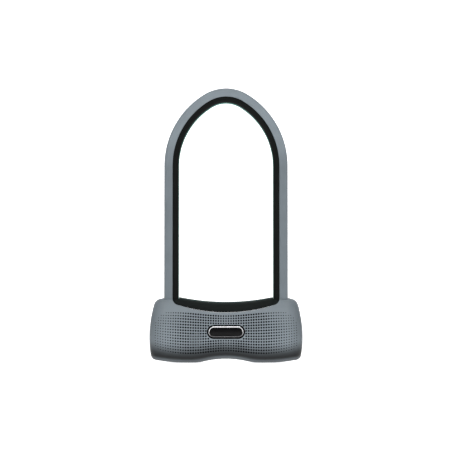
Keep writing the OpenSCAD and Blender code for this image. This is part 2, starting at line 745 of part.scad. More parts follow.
// Swings the shutter's disc from over the key opening to its parked place
pivot = shutter_arm * [sin(shutter_open / 2), cos(shutter_open / 2)];
park = 2 * shutter_arm * sin(shutter_open / 2);

module shutter_housing() {
  out_x = park + shutter_r + 1.8;
  out_y = boss_r - 5.6;
  color("darkgray") difference() {
    block([-out_x, out_x], [-out_y, out_y], [bezel_top, cyl_z]);
    block([-shutter_r - 1, park + shutter_r + 0.6], [pivot[1] - shutter_arm - shutter_r - 0.5, pivot[1] + 2.6],
      [shutter_z - 0.2, cyl_z + slack]);
    translate([0, 0, bezel_top - slack]) cylinder(r = key_r + 0.4, h = cyl_z);
    translate([pivot[0], pivot[1], bezel_top + 0.3]) cylinder(r = pivot_r + fit, h = 2);
    for (spot = tray_spots) translate([spot[0], spot[1], bezel_top - slack]) {
      cylinder(r = 1.1, h = 4);
      cylinder(r = 2, h = 1.1);
    }
  }
}

module shutter_screws() {
  color("dimgray") for (spot = tray_spots) translate([spot[0], spot[1], bezel_top]) {
    cylinder(r = 1.8, h = 0.9);
    cylinder(r = 0.9, h = 7);
  }
}

module key_shutter() {
  color("silver") translate([0, 0, shutter_z]) linear_extrude(shutter_t) difference() {
    union() {
      circle(shutter_r);
      translate(pivot) circle(2.1);
      rotate(90 - shutter_open / 2) translate([0, -1.6]) square([shutter_arm, 3.2]);
    }
    translate(pivot) circle(pivot_r + 2 * fit);
  }
}

module shutter_pin() {
  color("dimgray") translate([pivot[0], pivot[1], bezel_top + 0.4]) cylinder(r = pivot_r, h = cyl_z - bezel_top - 0.5);
}

module shutter_spring() {
  z0 = shutter_z + shutter_t + 0.15;
  color("silver") translate([pivot[0], pivot[1], z0]) linear_extrude(cyl_z - z0 - 0.15) {
    difference() {
      circle(2);
      circle(1.4);
    }
    translate([1.4, 0.2]) square([4.6, 0.5]);
    rotate(-115) translate([1.4, -0.7]) square([3.4, 0.5]);
  }
}

// ---------- Siren ----------

module siren_capsule() {
  color([0.12, 0.12, 0.12]) difference() {
    rod(-siren_x, siren_z, siren_r, siren_y0, siren_y0 + siren_t);
    rod(-siren_x, siren_z, siren_r - siren_wall, siren_y0 - slack, siren_y0 + siren_t - siren_wall);
  }
}

module siren_plate() {
  color("goldenrod") difference() {
    rod(-siren_x, siren_z, siren_r - siren_wall - slack, siren_y0 + 2, siren_y0 + 2.4);
    rod(-siren_x, siren_z, 0.6, -depth, depth);
  }
}

module siren_membrane() {
  color([0.2, 0.2, 0.2]) difference() {
    rod(-siren_x, siren_z, siren_r - 0.3, siren_y0 - 0.6, siren_y0 - slack);
    rod(-siren_x, siren_z, siren_r - 2.5, siren_y0 - 0.3, siren_y0);
  }
}

// Flat cable from the siren to the board, laid in front of the case
module siren_ribbon() {
  back = siren_y0 + siren_t + 0.4;
  bare = board_y - board_t - 0.1;
  route = [[-siren_x + siren_r - 3, back], [-siren_x + siren_r + 1.8, back], [-boss_r + 1, -boss_r - 2.6],
    [boss_r - 1, -boss_r - 2.6], [board_x0 + 1, bare], [board_x0 + 5, bare]];
  color("orange") translate([0, 0, board_z0 + 6.5]) linear_extrude(4)
    polygon(concat(route, [for (p = reversed(route)) p - [0, 0.3]]));
}

// ---------- Electronics ----------

module circuit_board() {
  color("seagreen") difference() {
    block([board_x0, board_x1], [board_y - board_t, board_y], [board_z0, board_z1]);
    for (spot = board_spots) rod(spot[0], spot[1], 1.1, -depth, depth);
  }
}

module board_chips() {
  x = (board_x0 + board_x1) / 2;
  z = (board_z0 + board_z1) / 2;
  color([0.1, 0.1, 0.1]) {
    block([x - 4, x + 4], [board_y, board_y + 1.2], [z - 4, z + 4]);
    block([x + 6.5, x + 9.5], [board_y, board_y + 1.4], [z - 5, z]);
    block([x - 10, x - 6.5], [board_y, board_y + 2], [z - 2, z + 3]);
    block([board_x1 - 2.4, board_x1 - 0.4], [board_y, board_y + 1.2], [z - 1.5, z + 1.5]);
    rod(x + 8, z + 4, 2, board_y, board_y + 3.5);
  }
}

module board_screws() {
  color("silver") for (spot = board_spots) {
    rod(spot[0], spot[1], 0.75, board_y - board_t - 2.5, board_y + 0.2);
    rod(spot[0], spot[1], 1.7, board_y, board_y + 1);
  }
}

// ---------- Battery tray ----------

module battery_door() {
  color("slategray") difference() {
    intersection() {
      rear_shell();
      door_block(0);
    }
    rod(cell_x, door_screw_z, screw_r + 0.2, 0, depth);
    rod(cell_x, door_screw_z, screw_head + 0.2, door_seat, depth);
  }
}

module battery_cradle() {
  half_l = cell_l / 2;
  low = cell_z - cell_d / 2;
  front = cell_y - cell_d / 2;
  inside = [cell_x - half_l - cell_room, cell_x + half_l + cell_room];
  outer_half = half_l + cell_room + cradle_t;
  back = min([for (m = [-1, 1]) skin_depth(cell_x + m * outer_half, low - 1, wall + 0.5)]);
  color([0.15, 0.15, 0.15]) difference() {
    block([cell_x - outer_half, cell_x + outer_half], [front - 1, back], [low - 1, cell_z + cell_d / 2 + 0.8]);
    block(inside, [front - 2, cell_y], [low - slack, half_w]);
    translate([inside[0], cell_y, cell_z]) rotate([0, 90, 0])
      cylinder(r = cell_d / 2 + slack, h = inside[1] - inside[0]);
    block(inside, [front - 2, cell_y + cell_d / 2 + slack], [cell_z, half_w]);
  }
}

module battery_cell() {
  color("royalblue") translate([cell_x - cell_l / 2, cell_y, cell_z]) rotate([0, 90, 0]) {
    cylinder(r = cell_d / 2, h = cell_l - 1);
    cylinder(r = 3, h = cell_l);
  }
}

module battery_contacts() {
  color("silver") for (m = [-1, 1]) {
    x = cell_x + m * (cell_l / 2 + 0.4);
    block([x - 0.2, x + 0.2], [cell_y - 4, cell_y + 4], [cell_z - 4, cell_z + 4]);
  }
}

module door_screw() {
  color("dimgray") difference() {
    union() {
      rod(cell_x, door_screw_z, screw_r - 0.2, door_seat - 7, door_seat + 0.5);
      rod(cell_x, door_screw_z, screw_head, door_seat, door_seat + 1.3);
    }
    translate([cell_x, door_seat + 1.5, door_screw_z]) rotate([90, 0, 0]) cylinder(r = hex_r, h = 1, $fn = 6);
  }
}

shackle_bar();
shackle_sleeve();
shackle_liner();
leg_magnet();
front_cover();
rear_cover();
deck_panel();
cover_seal();
cover_screws();
badge_frame();
badge_plate();
entry_seals();
lock_case();
case_lid();
lid_screws();
left_bolt();
right_bolt();
drive_disc();
cylinder_housing();
cylinder_pin();
plug_barrel();
drill_disc();
detainer_discs();
sidebar();
keyway_bezel();
shutter_housing();
shutter_screws();
key_shutter();
shutter_pin();
shutter_spring();
siren_capsule();
siren_plate();
siren_membrane();
siren_ribbon();
circuit_board();
board_chips();
board_screws();
battery_door();
battery_cradle();
battery_cell();
battery_contacts();
door_screw();
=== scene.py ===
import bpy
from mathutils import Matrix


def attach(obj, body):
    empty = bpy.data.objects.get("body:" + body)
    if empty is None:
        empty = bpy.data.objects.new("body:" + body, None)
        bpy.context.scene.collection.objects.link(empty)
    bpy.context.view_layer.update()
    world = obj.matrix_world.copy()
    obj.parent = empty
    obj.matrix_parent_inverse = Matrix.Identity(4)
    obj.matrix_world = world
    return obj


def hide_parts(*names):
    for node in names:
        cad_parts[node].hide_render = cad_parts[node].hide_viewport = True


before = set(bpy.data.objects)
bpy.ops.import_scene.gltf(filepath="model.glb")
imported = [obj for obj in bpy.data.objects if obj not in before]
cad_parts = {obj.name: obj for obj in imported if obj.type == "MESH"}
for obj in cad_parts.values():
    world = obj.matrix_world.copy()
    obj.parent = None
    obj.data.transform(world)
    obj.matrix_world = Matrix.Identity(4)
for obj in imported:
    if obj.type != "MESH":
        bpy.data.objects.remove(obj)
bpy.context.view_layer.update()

import math

import bmesh
import bpy
from mathutils import Vector

# Looks of a bicycle U-lock with a siren housing. Shape sizes are in millimetres, as in the
# construction, and MM turns them into metres when a mesh or a material is made.
MM = 0.001
WELD, CAD_WELD = 0.0001 * MM, 0.001 * MM        # points nearer than this are one

# ---------- Sizes of the housing ----------

HALF_W, HALF_D = 87.28, 23.96          # half width and half depth of the housing
MID_Z = 33.0                           # height at which the housing is deepest
UPPER_N, UNDER_N = 2.0, 3.0            # superellipse powers of its section, above and below that
CROWN_D = 1.5                          # slimming of the ends, per side
WALL = 2.5                             # thickness of the covers
END_R, CORNER_R = 8.0, 4.0             # rounding of the ends, seen from above and from the front
SIDE_R, SIDE_Z, SIDE_FADE = 150.0, 29.0, 5      # bulge of the ends: radius, height, fading power
DECK_Z, DECK_R = 69.6, 262.0           # hollow of the top between the legs
SHOULDER_R, HILL_X = 60.0, 60.0        # hills that it runs into at the legs
WAIST_R, LOBE_R, HEEL_R = 111.0, 79.0, 210.0    # arcs of the underside, from the middle outward
FOOT_X, FOOT_TRIM = 42.0, 0.6          # place of the feet, and what is cut off to make them flat
SEAL_HALF = 0.6                        # half the gap between the covers
LENS_Z, LENS_R = 57.2, 178.0           # lowest point and arc of the deck panel's edge
LENS_HALF, LENS_CORNER, LENS_GAP = 61.2, 5.0, 0.15      # its half width, corners and gap
DECK_SPAN, DECK_SPARE, DECK_CUT_Z = 0.78, 3, 50     # strip that the panel is cut from

# ---------- Sizes of the shackle ----------

LEG_X, LEG_GAP = 62.5, 0.3             # place of the legs, and their gap in the housing
BAR, BAR_R = 17.0, 3.4                 # side of the sleeved bar and its corners
BAR_INSET = 0.14                       # keeps the sleeve inside the construction's box
CORE, CORE_R = 13.1, 2.0               # hollow of the sleeve
SPLIT_U, SPLIT_GAP = -1.3, 0.05        # where sleeve and liner meet, counted from the bar's middle
SLEEVE_Z = 64.0                        # lower end of both
SPRING_Z, CROWN_R = 225.7, 39.2        # where the legs start to lean, and the crown's radius
CROWN_A = math.radians(31.6)           # half the angle that the crown spans
SHOULDER_ARC = (LEG_X - CROWN_R * math.sin(CROWN_A)) / (1 - math.sin(CROWN_A))
CROWN_Z = SPRING_Z + (SHOULDER_ARC - CROWN_R) * math.cos(CROWN_A)

# ---------- Sizes of the badge, the dots and the openings ----------

BADGE_W, BADGE_H, BADGE_Z = 43.2, 15.6, 35.2
BADGE_GAP, BADGE_BAND = 1.0, 2.2       # edge of the badge around its ring, and the ring's width
BADGE_SEAT, BADGE_ROOM = 21.8, 0.4     # depth of its recess, and how much wider the recess is
PLATE_GAP = 0.1                        # between its ring and its black field
DOT_DX, DOT_ROWS, DOT_COLS = 2.87, 15, 28               # columns on each side of the middle
DOT_TOP_Z, DOT_TOP_RISE, DOT_TOP_X = 53.1, 3.8, 62      # top row: middle, rise, where it runs level
DOT_LOW_Z, DOT_LOW_RISE, DOT_LOW_R = 11.0, 3.1, 128     # lowest row: lobes, rise at the waist, ends
DOT_END_X, DOT_END_R = 84, 28          # arc at which the pattern stops
DOT_R_END, DOT_R = 0.46, 1.1           # radii at the ends and over the rest of the front
DOT_MIDDLE = 0.82                      # and the part of them that is left beside the badge
DOT_FADE, DOT_CENTRE = 34, 18          # widths over which the dots grow from there
DOT_ROOM, DOT_DEPTH = 0.95, 1.1        # distance from the badge, and depth of a dimple
SIREN_X, SIREN_Z, SIREN_R = -34.0, 25.5, 8.2            # where the dots go right through
SKIN_BACK = 18.0                       # depth of the front cover's inside there
BEZEL_R, BEZEL_Z, SOCKET_Z = 7.7, (-5, 9.2), 62.1       # key bezel's hole, and the legs' sockets
SCREWS_LOW, SCREWS_HIGH = (LEG_X - 6.5, 15.2), (LEG_X + BAR / 2 + 7.2, 50.0)
SCREW_SPOTS = [(m * x, z) for m in (-1, 1) for x, z in (SCREWS_LOW, SCREWS_HIGH)]
SCREW_SEAT, SCREW_R, SCREW_HEAD = 15.0, 1.5, 2.7        # depth of a screw's head, and radii
SHAFT_ROOM, HEAD_ROOM = 0.2, 0.3       # their room in the covers
BOSS_R, BOSS_Y, BOSS_SINK = 4.2, 12.0, 1.5              # bosses inside the rear cover
DOOR_MID, DOOR_HALF, DOOR_Z = 34, 16.5, (11.6, 37.6)    # battery door, seen from the front
DOOR_X = (DOOR_MID - DOOR_HALF, DOOR_MID + DOOR_HALF)
DOOR_R, DOOR_GAP, DOOR_Y = 1.5, 0.3, 10                 # its corners, its gap and the cut's start
DOOR_SCREW_Z, DOOR_SEAT = 33.4, 21.0
PAST_X, PAST_Y, PAST_Z = 90, 30, 110   # how far a cutter reaches, to stand clear of the housing
PAST_UNDER, PAST_SEAL = 10, 5          # the same below the feet, and behind the parting plane
SHARP = 32                             # angle in degrees above which an edge stays sharp


def arc_drop(r, t):
    """How far an arc falls behind its tangent at a distance."""
    return r - math.sqrt(max(0.0, r * r - t * t))


def between(low, high, part):
    """A value part of the way from one to another."""
    return low + (high - low) * part


def wave(x, valley_r, hill_r, hill_x):
    """Height above a valley arc's bottom where it runs into a hill arc."""
    angle = math.asin(hill_x / (valley_r + hill_r))
    t = abs(x)
    if t < valley_r * math.sin(angle):
        return arc_drop(valley_r, t)
    return (valley_r + hill_r) * (1 - math.cos(angle)) - arc_drop(hill_r, t - hill_x)


def top_z(x):
    """Outline of the housing's top, seen from the front."""
    return DECK_Z + wave(x, DECK_R, SHOULDER_R, HILL_X)


def under_z(x):
    """Outline of the housing's underside, seen from the front."""
    t = abs(x)
    rise = wave(FOOT_X, WAIST_R, LOBE_R, FOOT_X) - wave(min(t, FOOT_X), WAIST_R, LOBE_R, FOOT_X)
    return -FOOT_TRIM + rise + (arc_drop(HEEL_R, t - FOOT_X) if t > FOOT_X else 0)


def rounding(t, limit, r):
    """Drop of a rounded corner that ends at the limit."""
    return 0.0 if t <= limit - r else arc_drop(r, min(t, limit) - (limit - r))


def lens_edge(x):
    """Height of the deck panel's lower edge."""
    return LENS_Z + arc_drop(LENS_R, abs(x)) + rounding(abs(x), LENS_HALF, LENS_CORNER)


# In the functions below, s is a station that runs from -1 to 1 between the ends, and d is how
# far a surface lies inside the outer skin.

def end_inset(s, z, d):
    """How far the skin stands in from its full width; this fades towards the middle."""
    return math.copysign(abs(s) ** SIDE_FADE * (arc_drop(SIDE_R, z - SIDE_Z) + d), s)


def x_at(s, z, d=0.0):
    """The place of a station at a height."""
    return s * HALF_W - end_inset(s, z, d)


def s_at(x, z, rounds=6):
    """The station at a place of the outer skin, by repeated approach."""
    s = 0.0
    for _ in range(rounds):
        s = (x + end_inset(s, z, 0)) / HALF_W
    return s


def skin_reach(s, d, up):
    """How far the skin's top or underside is from the height at which it is deepest."""
    if up:
        x = abs(x_at(s, DECK_Z))
        return top_z(x) - d - rounding(x, x_at(1, DECK_Z), CORNER_R) - MID_Z
    x = abs(x_at(s, 0))
    return MID_Z - (under_z(x) + d + rounding(x, x_at(1, 0), CORNER_R))


def skin_half_d(s, d):
    """How far the skin stands from the middle plane where it is deepest."""
    return HALF_D - d - CROWN_D * s * s - rounding(abs(s) * HALF_W, HALF_W, END_R)


def section(angle):
    """Depth and height, from 0 to 1, on the superellipse of the housing's section."""
    n = UPPER_N if angle >= 0 else UNDER_N
    c, h = math.cos(math.radians(angle)), abs(math.sin(math.radians(angle)))
    r = (max(c, 0) ** n + h ** n) ** (1 / n)
    return (0.0 if abs(angle) >= 90 else c / r), h / r


def skin(s, angle, d, k=1.0, gap=SEAL_HALF):
    """A point of the housing's front at an angle from -90 (under) to 90 (top).

    k is 1 on the skin and 0 at the parting plane, which lies a gap in front of the middle.
    """
    depth, height = section(angle)
    z = MID_Z + math.copysign(skin_reach(s, d, angle >= 0) * height, angle)
    y = gap + k * depth * (skin_half_d(s, d) - gap)
    return x_at(s, z, d), -y, z


def angle_at(s, z, d):
    """The skin angle at which a station reaches a height."""
    up = z >= MID_Z
    n = UPPER_N if up else UNDER_N
    height = min(1.0, abs(z - MID_Z) / skin_reach(s, d, up))
    depth = (1 - height ** n) ** (1 / n)
    return math.copysign(math.degrees(math.atan2(height, depth)), z - MID_Z)


def skin_depth(x, z):
    """How far the outer skin stands from the middle plane at a place seen from the front."""
    s = s_at(x, z)
    return -skin(s, angle_at(s, z, 0), 0)[1]


# ---------- Mesh helpers ----------

def new_object(name, verts, faces):
    """A mesh object from millimetre points, smooth but for its sharp edges."""
    mesh = bpy.data.meshes.new(name)
    mesh.from_pydata([[c * MM for c in v] for v in verts], [], faces)
    mesh.validate()
    obj = bpy.data.objects.new(name, mesh)
    bpy.context.collection.objects.link(obj)
    face_outward(obj)
    smooth(obj)
    return obj


def face_outward(obj):
    """Welds an object's points and turns all its faces outward."""
    bm = bmesh.new()
    bm.from_mesh(obj.data)
    bmesh.ops.remove_doubles(bm, verts=bm.verts, dist=WELD)
    bmesh.ops.recalc_face_normals(bm, faces=bm.faces)
    bm.to_mesh(obj.data)
    bm.free()


def smooth(obj):
    """Shades an object smooth, but for the edges above the SHARP angle."""
    obj.data.shade_smooth()
    obj.data.set_sharp_from_angle(angle=math.radians(SHARP))


def sheet(outer, inner):
    """Points and faces of a closed sheet between two equal grids of points."""
    rows, cols = len(outer) - 1, len(outer[0]) - 1
    verts = [p for row in outer + inner for p in row]
    off = len(verts) // 2
    faces = []
    for i in range(rows):
        for j in range(cols):
            a, b = (cols + 1) * i + j, (cols + 1) * (i + 1) + j
            c, d = b + 1, a + 1
            faces += [(a, b, c, d), (d + off, c + off, b + off, a + off)]
            rims = ((j == 0, a, b), (j == cols - 1, c, d), (i == 0, d, a), (i == rows - 1, b, c))
            faces += [(q, p, p + off, q + off) for at_rim, p, q in rims if at_rim]
    return verts, faces


def extruded(low, high):
    """Points and faces of a solid between two equal outlines."""
    n = len(low)
    faces = [tuple(range(n)), tuple(range(2 * n - 1, n - 1, -1))]
    faces += [(i, (i + 1) % n, (i + 1) % n + n, i + n) for i in range(n)]
    return low + high, faces


def prism(outline, y0, y1):
    """An outline in x and z, extruded in depth."""
    return extruded([(x, y0, z) for x, z in outline], [(x, y1, z) for x, z in outline])


def upright(outline, z0, z1):
    """An outline in x and y, extruded upward."""
    return extruded([(x, y, z0) for x, y in outline], [(x, y, z1) for x, y in outline])


def loft(rings, closed=False):
    """Points and faces of a solid through rings of equal length."""
    n = len(rings[0])
    verts = [p for ring in rings for p in ring]
    faces = []
    count = len(rings) if closed else len(rings) - 1
    for i in range(count):
        k = (i + 1) % len(rings)
        faces += [(i * n + j, k * n + j, k * n + (j + 1) % n, i * n + (j + 1) % n) for j in range(n)]
    if not closed:
        last = (len(rings) - 1) * n
        faces += [tuple(range(n)), tuple(range(last + n - 1, last - 1, -1))]
    return verts, faces


def joined(solids):
    """One list of points and faces from several."""
    verts, faces = [], []
    for part_verts, part_faces in solids:
        off = len(verts)
        verts += part_verts
        faces += [tuple(i + off for i in face) for face in part_faces]
    return verts, faces


def stadium(w, h, z0, steps=20):
    """Outline of a bar with round ends, at a height."""
    r = h / 2
    points = []
    for side in (1, -1):
        for i in range(steps + 1):
            a = math.radians(-90 + 180 * i / steps)
            points.append((side * ((w - h) / 2 + r * math.cos(a)), z0 + side * r * math.sin(a)))
    return points


def circle(x, y, r, steps):
    """Outline of a circle."""
    angles = [2 * math.pi * i / steps for i in range(steps)]
    return [(x + r * math.cos(a), y + r * math.sin(a)) for a in angles]


def rounded(x, y, r, steps=8):
    """Outline of a rectangle with rounded corners; x and y are its lowest and highest places."""
    points = []
    for cx, cy, turn in ((x[1] - r, y[1] - r, 0), (x[0] + r, y[1] - r, 90),
                         (x[0] + r, y[0] + r, 180), (x[1] - r, y[0] + r, 270)):
        for i in range(steps + 1):
            a = math.radians(turn + 90 * i / steps)
            points.append((cx + r * math.cos(a), cy + r * math.sin(a)))
    return points


def rod(x, z, r, y0, y1, steps=32):
    """A cylinder along the depth."""
    return prism(circle(x, z, r, steps), y0, y1)


def box(x, y, z):
    """A block; x, y and z are its lowest and highest places."""
    corners = [(i, j, k) for i in x for j in y for k in z]
    faces = [(0, 1, 3, 2), (4, 6, 7, 5), (0, 4, 5, 1), (2, 3, 7, 6), (0, 2, 6, 4), (1, 5, 7, 3)]
    return corners, faces


def painted(obj, material):
    """Gives an object one material all over."""
    obj.data.materials.clear()
    obj.data.materials.append(material)
    return obj


def solid(name, solids, material):
    """One object in one material from several closed solids."""
    return painted(new_object(name, *joined(solids)), material)


def combined(obj, other, operation):
    """Combines an object with another closed mesh, whose faces bring their material along."""
    change = obj.modifiers.new("combined", "BOOLEAN")
    change.operation = operation
    change.object = other
    change.solver = "MANIFOLD"
    change.material_mode = "TRANSFER"
    bpy.context.view_layer.objects.active = obj
    bpy.ops.object.modifier_apply(modifier=change.name)
    bpy.data.objects.remove(other, do_unlink=True)


def cut(obj, *cutters):
    """Subtracts closed meshes from an object."""
    for cutter in cutters:
        combined(obj, cutter, "DIFFERENCE")


# ---------- Materials ----------

# Painted shade on the covers, standing in for the light that falls off where the front turns
# under and towards the ends: by height over the underside's outline, with a lighter band on the
# rim at the foot as a painted reflection of the floor, a milder shade along the middle of the
# underside itself, and darker towards the ends.
BELLY_REACH = 24.0
BELLY_SHADES = [(0, 0.2), (1, 0.25), (2.6, 0.36), (4, 0.14), (5.3, 0.03), (7, 0.05), (10, 0.14),
                (13, 0.33), (17, 0.65), (21, 0.93), (BELLY_REACH, 1.0)]
UNDER_SHADE, UNDER_Y, UNDER_RISE = 0.6, (6, 13), (0.8, 3)       # fades between these places
END_SHADE, END_PARTS = 0.6, (0.8, 0.98)                         # in parts of the half width


def nodes_of(name):
    """A new material with its node tree and its shader."""
    material = bpy.data.materials.new(name)
    material.use_nodes = True
    tree = material.node_tree
    return material, tree, tree.nodes["Principled BSDF"]


def place_on_object(tree):
    """Outputs X, Y and Z of a point of the object, in metres."""
    coords = tree.nodes.new("ShaderNodeTexCoord")
    parts = tree.nodes.new("ShaderNodeSeparateXYZ")
    tree.links.new(coords.outputs["Object"], parts.inputs["Vector"])
    return parts.outputs


def noise(tree, scale, detail=3.0, stretch=(1, 1, 1)):
    """A noise texture that sits on the object, in metres."""
    coords = tree.nodes.new("ShaderNodeTexCoord")
    mapping = tree.nodes.new("ShaderNodeMapping")
    mapping.inputs["Scale"].default_value = stretch
    texture = tree.nodes.new("ShaderNodeTexNoise")
    texture.inputs["Scale"].default_value = scale
    texture.inputs["Detail"].default_value = detail
    tree.links.new(coords.outputs["Object"], mapping.inputs["Vector"])
    tree.links.new(mapping.outputs["Vector"], texture.inputs["Vector"])
    return texture.outputs["Fac"]


def ramp(tree, source, stops):
    """The output of a colour ramp with these stops."""
    node = tree.nodes.new("ShaderNodeValToRGB")
    elements = node.color_ramp.elements
    elements[0].position, elements[0].color = stops[0]
    elements[1].position, elements[1].color = stops[-1]
    for place, colour in stops[1:-1]:
        elements.new(place).color = colour
    tree.links.new(source, node.inputs["Fac"])
    return node.outputs["Color"]


def grey(v):
    """A linear grey."""
    return (v, v, v, 1)


def toned(colour, factor):
    """A colour made darker or lighter."""
    return tuple(min(1, c * factor) for c in colour[:3]) + (1,)


def srgb(r, g, b):
    """A linear colour from 0 to 255 display values."""
    def linear(c):
        c /= 255
        return c / 12.92 if c <= 0.04045 else ((c + 0.055) / 1.055) ** 2.4
    return (linear(r), linear(g), linear(b), 1)


def bump(tree, shader, height, strength, distance):
    """Gives a shader fine relief."""
    node = tree.nodes.new("ShaderNodeBump")
    node.inputs["Strength"].default_value = strength
    node.inputs["Distance"].default_value = distance
    tree.links.new(height, node.inputs["Height"])
    tree.links.new(node.outputs["Normal"], shader.inputs["Normal"])


def node_math(tree, kind, first, second=None):
    """The output of a math node; its inputs are numbers or other outputs."""
    node = tree.nodes.new("ShaderNodeMath")
    node.operation = kind
    for socket, value in zip(node.inputs, (first, second)):
        if isinstance(value, (int, float)):
            socket.default_value = value
        elif value is not None:
            tree.links.new(value, socket)
    return node.outputs[0]


def faded(tree, value, start, end):
    """1 up to the start, and smoothly down to 0 at the end; both are in millimetres."""
    node = tree.nodes.new("ShaderNodeMapRange")
    node.interpolation_type = "SMOOTHSTEP"
    limits = {"From Min": start * MM, "From Max": end * MM, "To Min": 1.0, "To Max": 0.0}
    for socket, number in limits.items():
        node.inputs[socket].default_value = number
    tree.links.new(value, node.inputs["Value"])
    return node.outputs["Result"]


def shaded(material, shade):
    """Multiplies a material's base colour by a painted shade that varies over the surface."""
    tree = material.node_tree
    base = tree.nodes["Principled BSDF"].inputs["Base Color"]
    mix = tree.nodes.new("ShaderNodeMix")
    mix.data_type = "RGBA"
    mix.blend_type = "MULTIPLY"
    factor, first, second = (socket for socket in mix.inputs if socket.enabled)
    factor.default_value = 1.0
    tree.links.new(base.links[0].from_socket, first)
    tree.links.new(shade, second)
    tree.links.new(next(socket for socket in mix.outputs if socket.enabled), base)


def moulded(name, colour, roughness, grain=2600, depth=0.06 * MM, vary=0.05, coat=0.0, shine=0.5):
    """Moulded plastic or rubber: fine eroded grain, slight tone and gloss drift."""
    material, tree, shader = nodes_of(name)
    drift = noise(tree, scale=35, detail=4)
    tones = ramp(tree, drift, [(0.35, toned(colour, 1 - vary)), (0.65, toned(colour, 1 + vary))])
    tree.links.new(tones, shader.inputs["Base Color"])
    fine = noise(tree, grain, detail=2)
    gloss = ramp(tree, fine, [(0.3, grey(roughness - 0.06)), (0.7, grey(roughness + 0.06))])
    tree.links.new(gloss, shader.inputs["Roughness"])
    bump(tree, shader, fine, 0.5, depth)
    shader.inputs["Specular IOR Level"].default_value = shine
    shader.inputs["Coat Weight"].default_value = coat
    shader.inputs["Coat Roughness"].default_value = 0.2
    return material


def metal(name, colour, roughness, stretch=(1, 1, 1), grain=900, depth=0.02 * MM, vary=0.08):
    """Machined or plated metal with brushed or turned marks along its stretch."""
    material, tree, shader = nodes_of(name)
    shader.inputs["Metallic"].default_value = 1.0
    marks = noise(tree, grain, detail=4, stretch=stretch)
    drift = noise(tree, scale=60, detail=3)
    tones = ramp(tree, drift, [(0.3, toned(colour, 1 - vary)), (0.7, colour)])
    tree.links.new(tones, shader.inputs["Base Color"])
    gloss = ramp(tree, marks, [(0.3, grey(max(0.02, roughness - 0.08))), (0.7, grey(roughness + 0.1))])
    tree.links.new(gloss, shader.inputs["Roughness"])
    bump(tree, shader, marks, 0.35, depth)
    return material


def over_underside(tree, place, across, span=12.0, steps=16):
    """Height of a point over the housing's underside; the outline is a curve up to its span."""
    node = tree.nodes.new("ShaderNodeFloatCurve")
    curve = node.mapping.curves[0]
    curve.points[0].location = (0, under_z(0) / span)
    curve.points[1].location = (1, under_z(HALF_W) / span)
    for i in range(1, steps):
        curve.points.new(i / steps, under_z(HALF_W * i / steps) / span)
    node.mapping.update()
    tree.links.new(across, node.inputs["Value"])
    lowest = node_math(tree, "MULTIPLY", node.outputs["Value"], span * MM)
    return node_math(tree, "SUBTRACT", place["Z"], lowest)


def painted_cover_shade(material):
    """Paints shade on a cover under its belly and at its ends, where its surface turns from the light,
    but less so on the rim at its foot, where the lighter band is a painted reflection of the floor.
    """
    tree = material.node_tree
    place = place_on_object(tree)
    across = node_math(tree, "DIVIDE", node_math(tree, "ABSOLUTE", place["X"]), HALF_W * MM)
    rise = over_underside(tree, place, across)
    part = node_math(tree, "DIVIDE", rise, BELLY_REACH * MM)
    belly = ramp(tree, part, [(height / BELLY_REACH, grey(shade)) for height, shade in BELLY_SHADES])
    near_middle = faded(tree, node_math(tree, "ABSOLUTE", place["Y"]), *UNDER_Y)
    near_foot = faded(tree, rise, *UNDER_RISE)
    under = node_math(tree, "MULTIPLY", near_middle, near_foot)
    under = node_math(tree, "MULTIPLY", under, UNDER_SHADE)
    shaded(material, node_math(tree, "MAXIMUM", belly, under))
    shaded(material, ramp(tree, across, list(zip(END_PARTS, (grey(1.0), grey(END_SHADE))))))
    return material


def painted_shade_by_height(material, low, high, dark):
    """Paints shade on a material, darker downward between two heights in mm: on the sleeve it stands in
    for light from above, and on the chrome for a dark room seen in it as a reflection.
    """
    tree = material.node_tree
    rise = node_math(tree, "SUBTRACT", place_on_object(tree)["Z"], low * MM)
    part = node_math(tree, "DIVIDE", rise, (high - low) * MM)
    shaded(material, ramp(tree, part, [(0.1, grey(dark)), (0.6, grey(1.0))]))
    return material


def painted_teal_sheen(material, weight):
    """A rubbery sheen where the surface curves away, which the lamps light; its teal tint is a painted
    reflection.
    """
    shader = material.node_tree.nodes["Principled BSDF"]
    shader.inputs["Sheen Weight"].default_value = weight
    shader.inputs["Sheen Roughness"].default_value = 0.3
    shader.inputs["Sheen Tint"].default_value = srgb(110, 215, 200)
    return material


